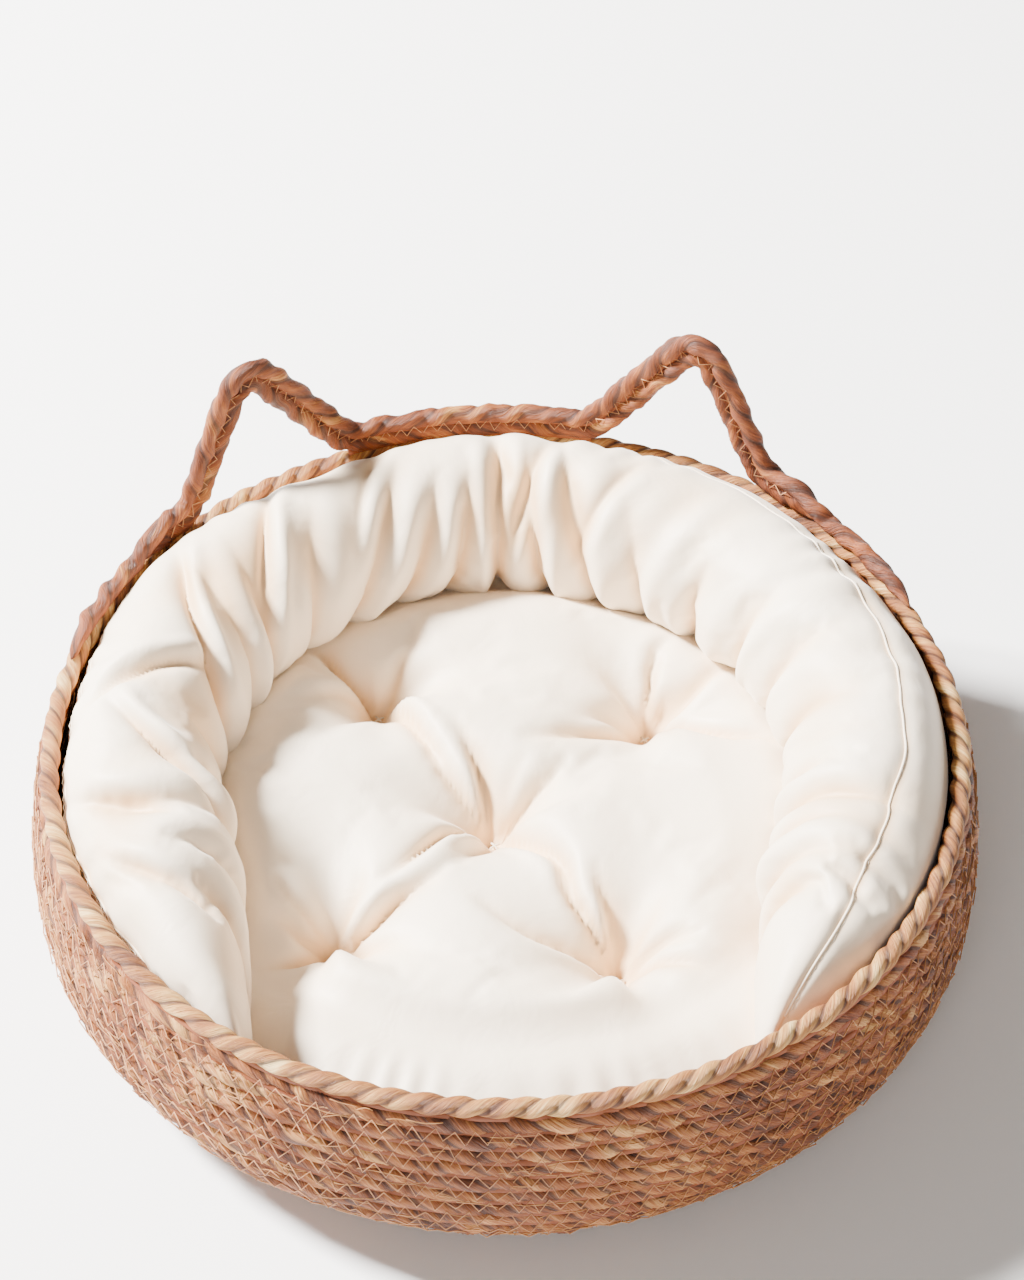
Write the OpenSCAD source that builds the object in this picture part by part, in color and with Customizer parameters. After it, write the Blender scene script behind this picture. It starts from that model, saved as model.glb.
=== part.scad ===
// Round cat bed: a bowl of coiled plant-fibre cord with a rope rim and two cat ears,
// a tufted round pad that lies in it, and a C-shaped bolster that lies on the pad.
// Millimetres, +Z up, +Y towards the ears. The origin is on the floor below the centre.

/* [Basket] */
// Widest outer diameter of the bowl
basket_d = 450; // [372:2:540]
// Height at which the bowl is widest
belly_h = 47; // [38:1:57]
// Diameter at which the flat base turns up into the wall
base_d = 330; // [274:2:396]
// Height of the rim rope's centre
rim_h = 110; // [91:1:132]
// Diameter of the ring that the rim rope's centre follows
rim_ring_d = 424; // [352:2:440]
// Thickness of the coiled cord
cord_d = 9; // [7.5:0.5:11]

/* [Ears] */
// Thickness of each of the two cords in the ear strip
strip_cord_d = 8.4; // [7:0.2:10]
// Diameter of the bent wire inside the lower cord
wire_d = 2.2; // [1.8:0.2:3]
// Distance between the ears, along the rim
ear_gap = 126; // [104:2:152]
// Width of an ear at its feet, along the rim
ear_w = 93; // [78:1:112]
// Distance of the ear's tip from its inner foot, along the rim
ear_tip = 54; // [45:1:60]
// Height of the ear's pointed outline above the strip
ear_rise = 72; // [60:1:87]
// Radius of the bend at the tip
tip_r = 11; // [9.5:0.5:14]
// Radius of the bend at the feet
foot_r = 20; // [15:1:24]
// Distance from the outer foot to the lower cord's end
lower_tail = 36; // [30:1:43]
// Distance from the outer foot to the upper cord's end
upper_tail = 110; // [90:2:132]

/* [Pad] */
// Height of the pad's seat for the bolster
pad_top = 66; // [60:1:79]
// Height of the pad's seam, where it is widest
pad_seam_h = 44; // [36:1:50]
// Rise of the crown inside the bolster
pad_crown = 11; // [8:1:14]
// Gap between the pad and the bowl around it
pad_gap = 2; // [1:0.5:3]
// Height of the bottom of a tuft
tuft_floor = 48; // [42:1:54]
// Distance from the middle tuft to the corner tufts, across
tuft_x = 66; // [55:1:76]
// Distance from the middle tuft to the corner tufts, front to back
tuft_y = 77; // [64:1:84]
// Turn of the tuft pattern
tuft_turn = -11; // [-30:1:30]
// Diameter of the thread tie through each tuft
tie_d = 2.4; // [2:0.2:4]

/* [Bolster] */
// Width of the bolster
bolster_w = 72; // [60:1:76]
// Height of the bolster's crest above the floor
bolster_top = 137; // [118:1:160]
// Angle that the tube spans, without its round ends
bolster_span = 261; // [214:1:280]
// Turn of the bolster's opening from straight ahead
bolster_turn = -7.5; // [-30:0.5:30]

/* [Cloth and clearances] */
// Thickness of the padded cloth
cloth_t = 1.2; // [1:0.2:2]
// Gap between the rim rope and what lifts out past it
lift_gap = 2.5; // [2:0.5:4]
// Gap between the bolster and the pad
seat_gap = 0.5; // [0.4:0.1:1]

/* [Hidden] */
$fn = 96;

straw = [0.70, 0.48, 0.31];
dark_straw = [0.60, 0.38, 0.22];
thread_colour = [0.86, 0.76, 0.66];
cream = [0.96, 0.93, 0.87];
wadding = [0.90, 0.90, 0.88];

// ---- Plane geometry ----
function unit(v) = v / norm(v);
function left(v) = [-v.y, v.x];
function last(list) = list[len(list) - 1];
// Direction of a line of points at point i
function along(line, i) = unit(line[min(i + 1, len(line) - 1)] - line[max(i - 1, 0)]);
// A line of points moved sideways, to its left
function shifted(line, d) = [for (i = [0:len(line) - 1]) line[i] + left(along(line, i)) * d];
// The distance walked at each point of a line
function walked(line) =
    [for (i = 0, d = 0; i < len(line); i = i + 1, d = d + norm(line[min(i, len(line) - 1)] - line[i - 1])) d];
// The round stretch that replaces the corner b between a and c
function bend(a, b, c, r, steps = 8) =
    let (
        to_a = unit(a - b),
        to_c = unit(c - b),
        half = acos(to_a * to_c) / 2,
        centre = b + unit(to_a + to_c) * r / sin(half),
        from = b + to_a * r / tan(half) - centre,
        upto = b + to_c * r / tan(half) - centre,
        turn = sign(from.x * upto.y - from.y * upto.x) * (180 - 2 * half),
        start = atan2(from.y, from.x)
    )
    [for (i = [0:steps]) centre + r * [cos(start + turn * i / steps), sin(start + turn * i / steps)]];
// A line of points with none further apart than the step
function divided(line, step) = concat(
    [for (i = [0:len(line) - 2])
        let (parts = ceil(norm(line[i + 1] - line[i]) / step))
        for (j = [0:parts - 1]) line[i] + (line[i + 1] - line[i]) * j / parts],
    [last(line)]
);

// ---- Wall ----
WALL_ROWS = 16;
cord_r = cord_d / 2;
belly_r = basket_d / 2 - cord_r;
base_r = base_d / 2;
rim_r = rim_ring_d / 2;
// Half of the width over which two rows touch, and of the flat where the rim rope sits on the wall
touch = 0.42 * cord_r;
RIM_SIDES = 16;
rim_touch = cord_r * tan(180 / RIM_SIDES);
// Middle of the wall's thickness, from the base to the rim rope's centre: a quarter of an
// ellipse up to the belly, then a curve that leans in towards the rim
ARC_STEPS = 24;
wall_line = concat(
    [for (i = [0:ARC_STEPS])
        let (a = 90 * i / ARC_STEPS)
        [base_r + (belly_r - base_r) * sin(a), cord_r + (belly_h - cord_r) * (1 - cos(a))]],
    [for (i = [1:ARC_STEPS])
        let (t = i / ARC_STEPS)
        [belly_r - (belly_r - rim_r) * t * t, belly_h + (rim_h - belly_h) * t]]
);
wall_walk = walked(wall_line);
wall_pitch = (last(wall_walk) - cord_r) / WALL_ROWS;
wall_r_at = [for (i = [0:len(wall_line) - 1]) [wall_walk[i], wall_line[i].x]];
wall_z_at = [for (i = [0:len(wall_line) - 1]) [wall_walk[i], wall_line[i].y]];
function wall_point(s) = [lookup(s, wall_r_at), lookup(s, wall_z_at)];
function wall_out(s) = -left(unit(wall_point(s + 0.5) - wall_point(max(s - 0.5, 0))));
// Half thickness of a row at the share t of its width
row_shares = [0, 0.15, 0.35, 0.65, 0.85, 1];
function row_touch(k) = k == WALL_ROWS ? rim_touch : touch;
function row_half(k, t) =
    let (edge = t < 0.5 ? row_touch(k - 1) : row_touch(k))
    edge + (cord_r - edge) * sqrt(1 - pow(2 * t - 1, 2));
// A point on the face of row k: side is 1 outside and -1 inside
function row_face(k, t, side) =
    let (s = (k - 1 + t) * wall_pitch)
    wall_point(s) + side * row_half(k, t) * (s < 0.01 ? [0, -1] : wall_out(s));
function row_section(k) = concat(
    [for (t = row_shares) row_face(k, t, 1)],
    [for (i = [len(row_shares) - 1:-1:0]) row_face(k, row_shares[i], -1)]
);

// ---- Base ----
base_turns = round(base_r / wall_pitch);
base_pitch = base_r / base_turns;

// ---- Ear strip, laid out flat as [distance along the rim, height] ----
strip_r = strip_cord_d / 2;
rim_crest = rim_h + cord_r / cos(180 / RIM_SIDES);
strip_h = rim_crest + strip_cord_d;
STRIP_STEP = 9;
ear_in = ear_gap / 2;
ear_out = ear_in + ear_w;
ear_top = [ear_in + ear_tip, strip_h + ear_rise];
strip_half_line = divided(concat(
    [[0, strip_h]],
    bend([0, strip_h], [ear_in, strip_h], ear_top, foot_r),
    bend([ear_in, strip_h], ear_top, [ear_out, strip_h], tip_r),
    bend(ear_top, [ear_out, strip_h], [ear_out + upper_tail, strip_h], foot_r),
    [[ear_out + upper_tail, strip_h]]
), STRIP_STEP);
// The lower cord thins out between the outer foot and its end, and the line where the two
// cords meet comes down onto the rim rope as it does
TAIL_LEFT = 0.42;
function ease(t) = (1 - cos(180 * max(0, min(1, t)))) / 2;
function lower_share(x) = 1 - (1 - TAIL_LEFT) * ease((x - ear_out - lower_tail / 2) * 2 / lower_tail);
function upper_share(x) = 1 - (1 - TAIL_LEFT) * ease((x - ear_out - upper_tail * 0.8) * 5 / upper_tail);
lower_end = ear_out + lower_tail;
// How far that line has come down at x
function valley_drop(x) =
    strip_cord_d * (x < lower_end ? 1 - lower_share(x) : 1 - TAIL_LEFT)
    + strip_cord_d * TAIL_LEFT * ease((x - lower_end) / strip_cord_d);
// Half of the line as [distance, height, radius of the upper cord, radius of the lower cord]
upper_half = [for (p = strip_half_line)
    [p.x, p.y - valley_drop(p.x), strip_r * upper_share(p.x), strip_r * lower_share(p.x)]];
lower_half = [for (p = upper_half) if (p.x <= lower_end) p];
function both_halves(half) = concat(
    [for (i = [len(half) - 1:-1:1]) [-half[i].x, half[i].y, half[i][2], half[i][3]]],
    half
);
upper_route = both_halves(upper_half);
lower_route = both_halves(lower_half);
// A place on the rim's cylinder
function on_rim(p) =
    let (a = p.x / rim_r * 180 / PI)
    [rim_r * sin(a), rim_r * cos(a), p.y];
STRIP_SIDES = 8;
// Eight-sided ring of radius r at point i of the route, its flats up and down. Its middle is
// a distance above the line where the cords meet, or below it if that is negative. Every
// ring at a point has the same plane, so the two cords touch along a shared flat
function strip_ring(route, i, above, r) =
    let (
        k = i + (len(upper_route) - len(route)) / 2,
        meeting = on_rim(upper_route[k]),
        before = on_rim(upper_route[max(k - 1, 0)]),
        after = on_rim(upper_route[min(k + 1, len(upper_route) - 1)]),
        out = unit([meeting.x, meeting.y, 0]),
        down = cross(out, unit(after - before)),
        corner = r / cos(180 / STRIP_SIDES)
    )
    [for (j = [0:STRIP_SIDES - 1])
        let (a = 360 * (j + 0.5) / STRIP_SIDES)
        meeting - above * down + corner * (cos(a) * out + sin(a) * down)];

// ---- Cushions ----
lift_r = rim_r - cord_r - lift_gap;
inner_gap = cord_r + pad_gap;
// Outline of the pad from the middle of its underside to the middle of its seat: it follows
// the bowl's inner face and goes up its side
PAD_ROUND = lift_r * 0.12;
BOLSTER_IN = lift_r - bolster_w;
CROWN_R = BOLSTER_IN - 6;
pad_line = concat(
    [[0, cord_d + pad_gap]],
    [for (s = [0:wall_pitch / 2:last(wall_walk) / 2])
        let (p = wall_point(s) - (s < 0.01 ? [0, -1] : wall_out(s)) * inner_gap)
        if (p.x < lift_r - 1 && p.y < pad_seam_h - 4) p],
    [for (a = [0:22.5:90])
        [lift_r - PAD_ROUND * (1 - cos(a)), pad_seam_h + (pad_top - pad_seam_h) * sin(a)]],
    [[0, pad_top]]
);
// The outline moved inwards by t, its two ends kept on the axis
function pad_inset(t) = t == 0 ? pad_line : [for (i = [0:len(pad_line) - 1])
    i == 0 ? pad_line[0] + [0, t]
    : i == len(pad_line) - 1 ? last(pad_line) - [0, t]
    : i == len(pad_line) - 2 ? pad_line[i] - [t, t]
    : pad_line[i] + left(along(pad_line, i)) * t];
// Radius of the ball whose cap is the crown
crown_ball_r = (CROWN_R * CROWN_R + pad_crown * pad_crown) / (2 * pad_crown);
tuft_dip = pad_top + pad_crown - tuft_floor;
TUFT_SPREAD = 36;
tuft_r = (TUFT_SPREAD * TUFT_SPREAD + tuft_dip * tuft_dip) / (2 * tuft_dip);
tuft_places = [[0, 0], [1, 1], [-1, 1], [-1, -1], [1, -1]];
// The pattern's middle lies a little in front of the pad's middle
TUFT_MIDDLE = [-4, -11];

bolster_r = lift_r - bolster_w / 2;
bolster_low = pad_top + seat_gap;
SECTION_STEPS = 24;
// Right half of the bolster's section, inset by t: a round crest and a flatter underside
function bolster_half(t) =
    let (
        a = bolster_w / 2 - t,
        waist = bolster_low + (bolster_top - bolster_low) * 0.42,
        up = bolster_top - waist - t,
        down = waist - bolster_low - t
    )
    [for (i = [0:SECTION_STEPS / 2])
        let (
            q = -90 + 180 * i / (SECTION_STEPS / 2),
            power = q < 0 ? 0.7 : 1
        )
        [a * pow(max(cos(q), 0), power), waist + (q < 0 ? -down * pow(-sin(q), power) : up * sin(q))]];
function bolster_section(t) =
    let (half = bolster_half(t))
    concat(half, [for (i = [len(half) - 2:-1:1]) [-half[i].x, half[i].y]]);

// ---- Shared shapes ----
// A closed skin over the rings of a route, with an open bore when inner rings are given
module skin(rings, inner = []) {
    n = STRIP_SIDES;
    m = len(rings);
    bored = len(inner) > 0;
    flat_out = [for (ring = rings) each ring];
    flat_in = [for (ring = inner) each ring];
    // Each four-sided face is split so that the upper flats and the lower flats match
    outer_faces = [for (i = [0:m - 2], j = [0:n - 1])
        let (a = i * n + j, b = (i + 1) * n + j, c = (i + 1) * n + (j + 1) % n, d = i * n + (j + 1) % n)
        each j < n / 2 ? [[a, b, c], [a, c, d]] : [[a, b, d], [b, c, d]]];
    inner_faces = bored ? [for (face = outer_faces) [for (k = [2:-1:0]) face[k] + m * n]] : [];
    end_faces = bored
        ? [for (j = [0:n - 1]) each [
            [j, (j + 1) % n, (j + 1) % n + m * n, j + m * n],
            [(m - 1) * n + (j + 1) % n, (m - 1) * n + j, (2 * m - 1) * n + j, (2 * m - 1) * n + (j + 1) % n]]]
        : [[for (j = [0:n - 1]) j], [for (j = [n - 1:-1:0]) (m - 1) * n + j]];
    polyhedron(concat(flat_out, flat_in), concat(outer_faces, inner_faces, end_faces));
}

// The pad's whole form, inset by t: the outline turned, the crown on top and the tufts cut in
module pad_form(t) {
    difference() {
        union() {
            rotate_extrude()
                polygon(pad_inset(t));
            intersection() {
                translate([0, 0, pad_top + pad_crown - crown_ball_r])
                    sphere(r = crown_ball_r - t);
                translate([0, 0, pad_seam_h])
                    cylinder(h = bolster_top, r = CROWN_R + 1);
            }
        }
        at_tufts()
            translate([0, 0, tuft_floor + tuft_r])
                sphere(r = tuft_r + t);
    }
}

module at_tufts() {
    for (place = tuft_places)
        rotate([0, 0, tuft_turn])
            translate([TUFT_MIDDLE.x + place.x * tuft_x, TUFT_MIDDLE.y + place.y * tuft_y, 0])
                children();
}

module tie_holes() {
    at_tufts()
        cylinder(h = bolster_top, d = tie_d);
}

// The part of a shape above or below the pad's seam
module above_seam() {
    intersection() {
        children();
        translate([0, 0, pad_seam_h])
            cylinder(h = bolster_top, r = basket_d);
    }
}

module below_seam() {
    intersection() {
        children();
        cylinder(h = pad_seam_h, r = basket_d);
    }
}

// A flat shape swept round as the bolster's tube, its middle facing +Y
module swept_tube(short = 0) {
    rotate([0, 0, 90 + bolster_turn - bolster_span / 2 + short])
        rotate_extrude(angle = bolster_span - 2 * short)
            translate([bolster_r, 0])
                children();
}

// A half section turned as a round end of the tube: side is 1 at -X and -1 at +X
module round_end(side) {
    rotate([0, 0, bolster_turn])
        mirror([side > 0 ? 0 : 1, 0, 0])
            rotate([0, 0, 90 + bolster_span / 2])
                translate([bolster_r, 0, 0])
                    rotate_extrude(angle = 180)
                        children();
}

// ---- Sub-parts ----
module base_coil() {
    low = concat([[0, 0]], [for (k = [1:base_turns]) each [
        [(k - 0.2) * base_pitch, 0],
        [k * base_pitch, cord_r - touch],
        if (k < base_turns) [(k + 0.2) * base_pitch, 0]]]);
    color(straw)
        rotate_extrude()
            polygon(concat(low, [for (i = [len(low) - 1:-1:0]) [low[i].x, cord_d - low[i].y]]));
}

module wall_coil(k) {
    color(k % 2 == 0 ? straw : dark_straw)
        rotate_extrude()
            polygon(row_section(k));
}

module rim_rope() {
    lean = atan2(wall_out(last(wall_walk) - cord_r).y, wall_out(last(wall_walk) - cord_r).x) - 90;
    color(straw)
        rotate_extrude()
            translate([rim_r, rim_h])
                polygon([for (i = [0:RIM_SIDES - 1])
                    let (a = lean + 360 * (i + 0.5) / RIM_SIDES)
                    cord_r / cos(180 / RIM_SIDES) * [cos(a), sin(a)]]);
}

// The sewing thread's runs, in the grooves between the rows, outside and inside
module seam_threads() {
    color(thread_colour)
        for (k = [1:WALL_ROWS - 1], side = [-1, 1])
            rotate_extrude()
                polygon([
                    row_face(k, row_shares[4], side),
                    row_face(k, 1, side),
                    row_face(k + 1, row_shares[1], side)
                ]);
}

module ear_cord_upper() {
    color(straw)
        skin([for (i = [0:len(upper_route) - 1])
            strip_ring(upper_route, i, upper_route[i][2], upper_route[i][2])]);
}

module ear_cord_lower() {
    color(dark_straw)
        skin(
            [for (i = [0:len(lower_route) - 1])
                strip_ring(lower_route, i, -lower_route[i][3], lower_route[i][3])],
            [for (i = [0:len(lower_route) - 1])
                strip_ring(lower_route, i, -lower_route[i][3], wire_d / 2)]
        );
}

module ear_wire() {
    color("silver")
        skin([for (i = [0:len(lower_route) - 1])
            strip_ring(lower_route, i, -lower_route[i][3], wire_d / 2)]);
}

module pad_top_panel() {
    color(cream)
        above_seam()
            difference() {
                pad_form(0);
                pad_form(cloth_t);
                tie_holes();
            }
}

module pad_bottom_panel() {
    color(cream)
        below_seam()
            difference() {
                pad_form(0);
                pad_form(cloth_t);
                tie_holes();
            }
}

module pad_filling() {
    color(wadding)
        difference() {
            pad_form(cloth_t);
            tie_holes();
        }
}

// A tie runs from the underside to the bottom of each tuft
module tuft_ties() {
    color(cream)
        at_tufts()
            translate([0, 0, cord_d + pad_gap])
                cylinder(h = tuft_floor - cord_d - pad_gap, d = tie_d);
}

module bolster_cover() {
    outer = bolster_section(0);
    inner = bolster_section(cloth_t);
    n = len(outer);
    color(cream)
        swept_tube()
            polygon(concat(outer, inner), [[for (i = [0:n - 1]) i], [for (i = [0:n - 1]) i + n]]);
}

module bolster_end(side) {
    inner = bolster_half(cloth_t);
    color(cream)
        round_end(side)
            polygon(concat(bolster_half(0), [for (i = [len(inner) - 1:-1:0]) inner[i]]));
}

// The wadding is one long roll with a round wad at each end, packed in just short of them
WAD_GAP = 0.4;
module bolster_filling() {
    color(wadding) {
        swept_tube(WAD_GAP / bolster_r * 180 / PI)
            polygon(bolster_section(cloth_t));
        for (side = [-1, 1])
            round_end(side)
                polygon(bolster_half(cloth_t));
    }
}

base_coil();
wall_coil(1);  // wall_coil_01
wall_coil(2);  // wall_coil_02
wall_coil(3);  // wall_coil_03
wall_coil(4);  // wall_coil_04
wall_coil(5);  // wall_coil_05
wall_coil(6);  // wall_coil_06
wall_coil(7);  // wall_coil_07
wall_coil(8);  // wall_coil_08
wall_coil(9);  // wall_coil_09
wall_coil(10);  // wall_coil_10
wall_coil(11);  // wall_coil_11
wall_coil(12);  // wall_coil_12
wall_coil(13);  // wall_coil_13
wall_coil(14);  // wall_coil_14
wall_coil(15);  // wall_coil_15
wall_coil(16);  // wall_coil_16
rim_rope();
seam_threads();
ear_cord_lower();
ear_cord_upper();
ear_wire();
pad_bottom_panel();
pad_top_panel();
pad_filling();
tuft_ties();
bolster_cover();
bolster_end(1);  // bolster_end_left
bolster_end(-1);  // bolster_end_right
bolster_filling();
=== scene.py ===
"""A round cat bed: coiled cord bowl, rope rim with two ears, tufted pad and C-shaped bolster."""
import math

import bpy
import numpy as np
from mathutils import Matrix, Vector


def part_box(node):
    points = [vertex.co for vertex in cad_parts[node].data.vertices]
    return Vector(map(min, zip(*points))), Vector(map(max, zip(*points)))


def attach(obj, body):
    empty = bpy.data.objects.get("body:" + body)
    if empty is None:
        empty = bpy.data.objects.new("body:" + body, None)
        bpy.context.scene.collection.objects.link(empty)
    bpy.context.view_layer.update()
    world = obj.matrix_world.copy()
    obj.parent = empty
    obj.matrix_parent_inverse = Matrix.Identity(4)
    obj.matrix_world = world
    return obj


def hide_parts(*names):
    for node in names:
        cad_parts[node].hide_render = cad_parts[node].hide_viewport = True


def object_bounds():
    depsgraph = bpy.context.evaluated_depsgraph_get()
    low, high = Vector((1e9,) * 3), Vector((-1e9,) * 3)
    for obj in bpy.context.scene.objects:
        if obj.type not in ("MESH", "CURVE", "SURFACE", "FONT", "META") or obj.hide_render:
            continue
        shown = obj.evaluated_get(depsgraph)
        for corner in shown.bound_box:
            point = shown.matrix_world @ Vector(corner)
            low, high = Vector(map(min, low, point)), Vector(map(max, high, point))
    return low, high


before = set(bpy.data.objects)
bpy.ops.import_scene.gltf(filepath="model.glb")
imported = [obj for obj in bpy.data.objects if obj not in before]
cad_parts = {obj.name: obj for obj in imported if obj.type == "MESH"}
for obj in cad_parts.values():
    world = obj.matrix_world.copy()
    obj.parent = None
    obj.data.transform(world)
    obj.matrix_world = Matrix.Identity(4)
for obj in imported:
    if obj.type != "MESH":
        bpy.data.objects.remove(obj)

cad_low, cad_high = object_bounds()
TAU = 2 * math.pi

# ---- Sizes, in metres ----
rim_low, rim_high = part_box("rim_rope")
CORD_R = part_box("base_coil")[1].z / 2          # half of the coiled cord's thickness
RIM_R = rim_high.x - CORD_R                    # ring that the rim rope's middle follows
RIM_H = (rim_low.z + rim_high.z) / 2           # height of that ring
BASE_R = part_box("base_coil")[1].x              # where the base turns up into the wall
BELLY_R = cad_high.x - CORD_R                  # middle of the wall where it is widest
BELLY_H = 0.047                                # height of that place
WALL_ROWS = 16
BASE_ROWS = 19
BASE_PITCH = BASE_R / BASE_ROWS
TWIST = 0.028                                  # length of one full turn of a two-strand cord

STRIP_R = 0.0042                               # half of the thickness of an ear cord
EAR_IN = 0.063                                 # inner foot of an ear, along the rim from the middle
EAR_OUT = 0.156                                # its outer foot
EAR_TIP = 0.117                                # its tip
EAR_RISE = 0.072                               # the tip's pointed outline above the strip
TIP_BEND = 0.011
FOOT_BEND = 0.020
LOWER_TAIL = 0.036                             # the lower cord's end beyond the outer foot
UPPER_TAIL = 0.110                             # the upper cord's end beyond it
THIN_END = 0.42                                # thickness of a cord's end, as a share of its full one

PAD_TOP = 0.066                                # seat of the bolster
PAD_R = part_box("pad_filling")[1].x
CLOTH_OUT = PAD_R + 0.0012                     # outermost radius of both cushions
PAD_LOW = 2 * CORD_R + 0.0025                  # underside of the pad in the middle of the bowl
PAD_SEAM_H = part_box("pad_bottom_panel")[1].z
TUFT_TURN = math.radians(-11)
TUFT_MIDDLE = (-0.004, -0.011)
TUFT_X = 0.066
TUFT_Y = 0.077
TUFT_FLOOR = 0.048
TUFT_RISE = 0.012                              # how far a tie draws the pad's underside up

BOLSTER_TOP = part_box("bolster_cover")[1].z
BOLSTER_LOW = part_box("bolster_cover")[0].z
BOLSTER_W = 0.072
BOLSTER_R = CLOTH_OUT - BOLSTER_W / 2          # ring that the bolster's middle follows


# ---- Node trees ----
class Value:
    """An output in a node tree, so that maths on it reads as plain Python."""

    def __init__(self, tree, socket):
        self.tree = tree
        self.socket = socket

    def maths(self, operation, *values):
        return self.tree.node("ShaderNodeMath", {"operation": operation}, values)

    def __add__(self, other):
        return self.maths("ADD", self, other)

    def __sub__(self, other):
        return self.maths("SUBTRACT", self, other)

    def __mul__(self, other):
        return self.maths("MULTIPLY", self, other)

    def __pow__(self, other):
        return self.maths("POWER", self, other)

    def limited(self):
        return self.tree.node("ShaderNodeClamp", {}, {"Value": self})


class Tree:
    """A node tree with one method that makes any node."""

    def __init__(self, tree):
        self.tree = tree

    def node(self, kind, settings=None, inputs=(), output=0):
        made = self.tree.nodes.new(kind)
        for name, value in (settings or {}).items():
            if name == "stops":
                self.set_stops(made.color_ramp, value)
            else:
                setattr(made, name, value)
        pairs = inputs.items() if isinstance(inputs, dict) else enumerate(inputs)
        for key, value in pairs:
            self.feed(made.inputs[key], value)
        return Value(self, made.outputs[output])

    def feed(self, socket, value):
        if isinstance(value, Value):
            self.tree.links.new(value.socket, socket)
        elif value is not None:
            socket.default_value = value

    @staticmethod
    def set_stops(ramp, stops):
        while len(ramp.elements) < len(stops):
            ramp.elements.new(0.5)
        for element, (place, colour) in zip(ramp.elements, stops):
            element.position = place
            element.color = (*colour, 1)


class Material(Tree):
    """A new material with a Principled shader."""

    def __init__(self, name):
        self.material = bpy.data.materials.new(name)
        self.material.use_nodes = True
        super().__init__(self.material.node_tree)
        self.shader = self.tree.nodes["Principled BSDF"]

    def set(self, **sockets):
        for name, value in sockets.items():
            self.feed(self.shader.inputs[name.replace("_", " ")], value)
        return self.material

    def coordinates(self, sizes, uv=None):
        """Object coordinates in metres, or a UV map, with each axis multiplied."""
        source = (self.node("ShaderNodeUVMap", {"uv_map": uv}) if uv
                  else self.node("ShaderNodeTexCoord", {}, (), "Object"))
        return self.node("ShaderNodeMapping", {}, {"Vector": source, "Scale": sizes})

    def noise(self, where, detail=2.0, roughness=0.5, distortion=0.0):
        return self.node("ShaderNodeTexNoise", {}, {
            "Vector": where, "Scale": 1.0, "Detail": detail,
            "Roughness": roughness, "Distortion": distortion})

    def blend(self, share, first, second):
        return self.node("ShaderNodeMix", {"data_type": "RGBA"}, {0: share, 6: first, 7: second}, 2)

    def attribute(self, name):
        return self.node("ShaderNodeAttribute", {"attribute_name": name}, (), "Fac")

    def bump(self, height, strength, distance, under=None):
        return self.node("ShaderNodeBump", {}, {
            "Strength": strength, "Distance": distance, "Height": height, "Normal": under})


def shade(red, green, blue):
    """A colour as it looks on a screen, 0 to 255, turned into the light that it sends back."""
    return tuple((v / 255 / 12.92) if v < 11 else ((v / 255 + 0.055) / 1.055) ** 2.4
                 for v in (red, green, blue))


def straw_material(name, tones, patch=0.5):
    """Twisted plant fibre: long streaks, a tone for each strand, and painted shade in the furrows
    between strands and along the joins between rows.
    """
    straw = Material(name)
    strand = straw.noise(straw.coordinates((34, 0.7, 1), "cord"), detail=1.0)
    streaks = straw.noise(straw.coordinates((70, 9, 1), "cord"), detail=3.0, roughness=0.6)
    fine = straw.noise(straw.coordinates((160, 34, 1), "cord"), detail=2.0)
    patches = straw.noise(straw.coordinates((11, 11, 16)), detail=2.0)
    tone = ((strand - 0.5) * 1.7 + (streaks - 0.5) * 1.3 + (fine - 0.5) * 0.5
            + (patches - 0.5) * patch + 0.5)
    colour = straw.node("ShaderNodeValToRGB", {"stops": tones}, {"Fac": tone.limited()})
    rosy = (straw.noise(straw.coordinates((17, 17, 24)), detail=1.0) * 4 - 2.1).limited()
    colour = straw.blend(rosy * 0.22, colour, (*shade(150, 76, 52), 1))
    # Painted shade: the furrows between strands and the joins where rows press together are darkened to
    # a deep brown, standing in for the shade that falls there
    painted_shade = straw.attribute("furrow") ** 6.0 * 0.8 + straw.attribute("join") ** 6.0 * 0.7
    colour = straw.blend(painted_shade.limited(), colour, (*shade(58, 26, 14), 1))
    height = streaks * 0.6 + fine * 0.4
    return straw.set(
        Base_Color=colour,
        Roughness=(streaks * 0.25 + 0.5).limited(),
        Normal=straw.bump(height, 0.9, 0.0022))


def thread_material(name, colour):
    """Sewing thread with a fine uneven ply."""
    thread = Material(name)
    ply = thread.noise(thread.coordinates((900, 900, 900)), detail=1.0)
    tone = thread.blend(ply, (*colour, 1), (*[c * 0.72 for c in colour], 1))
    return thread.set(Base_Color=tone, Roughness=0.65, Normal=thread.bump(ply, 0.4, 0.0003))


def cloth_material(name, colour, warm):
    """Plain-woven cream cloth with a soft sheen, with broad random warmer patches and painted warm
    shade in its creases.
    """
    cloth = Material(name)
    weave_u, weave_v = (
        cloth.node("ShaderNodeTexWave", {"bands_direction": axis}, {
            "Vector": cloth.coordinates((1, 1, 1)), "Scale": 620.0, "Distortion": 1.5})
        for axis in "XY")
    soft = cloth.noise(cloth.coordinates((38, 38, 38)), detail=3.0, roughness=0.55, distortion=0.6)
    broad = cloth.noise(cloth.coordinates((9, 9, 9)), detail=2.0)
    crease = cloth.attribute("crease")
    # The warm colour serves both as a broad random tone and as painted shade in the creases
    tone = cloth.blend((broad * 0.5 + crease * 0.8).limited(), (*colour, 1), (*warm, 1))
    rumple = cloth.bump(soft, 0.22, 0.004)
    return cloth.set(
        Base_Color=tone,
        Roughness=(soft * 0.2 + 0.42).limited(),
        Sheen_Weight=0.3,
        Sheen_Roughness=0.4,
        Normal=cloth.bump(weave_u + weave_v, 0.05, 0.0004, rumple))


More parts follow.
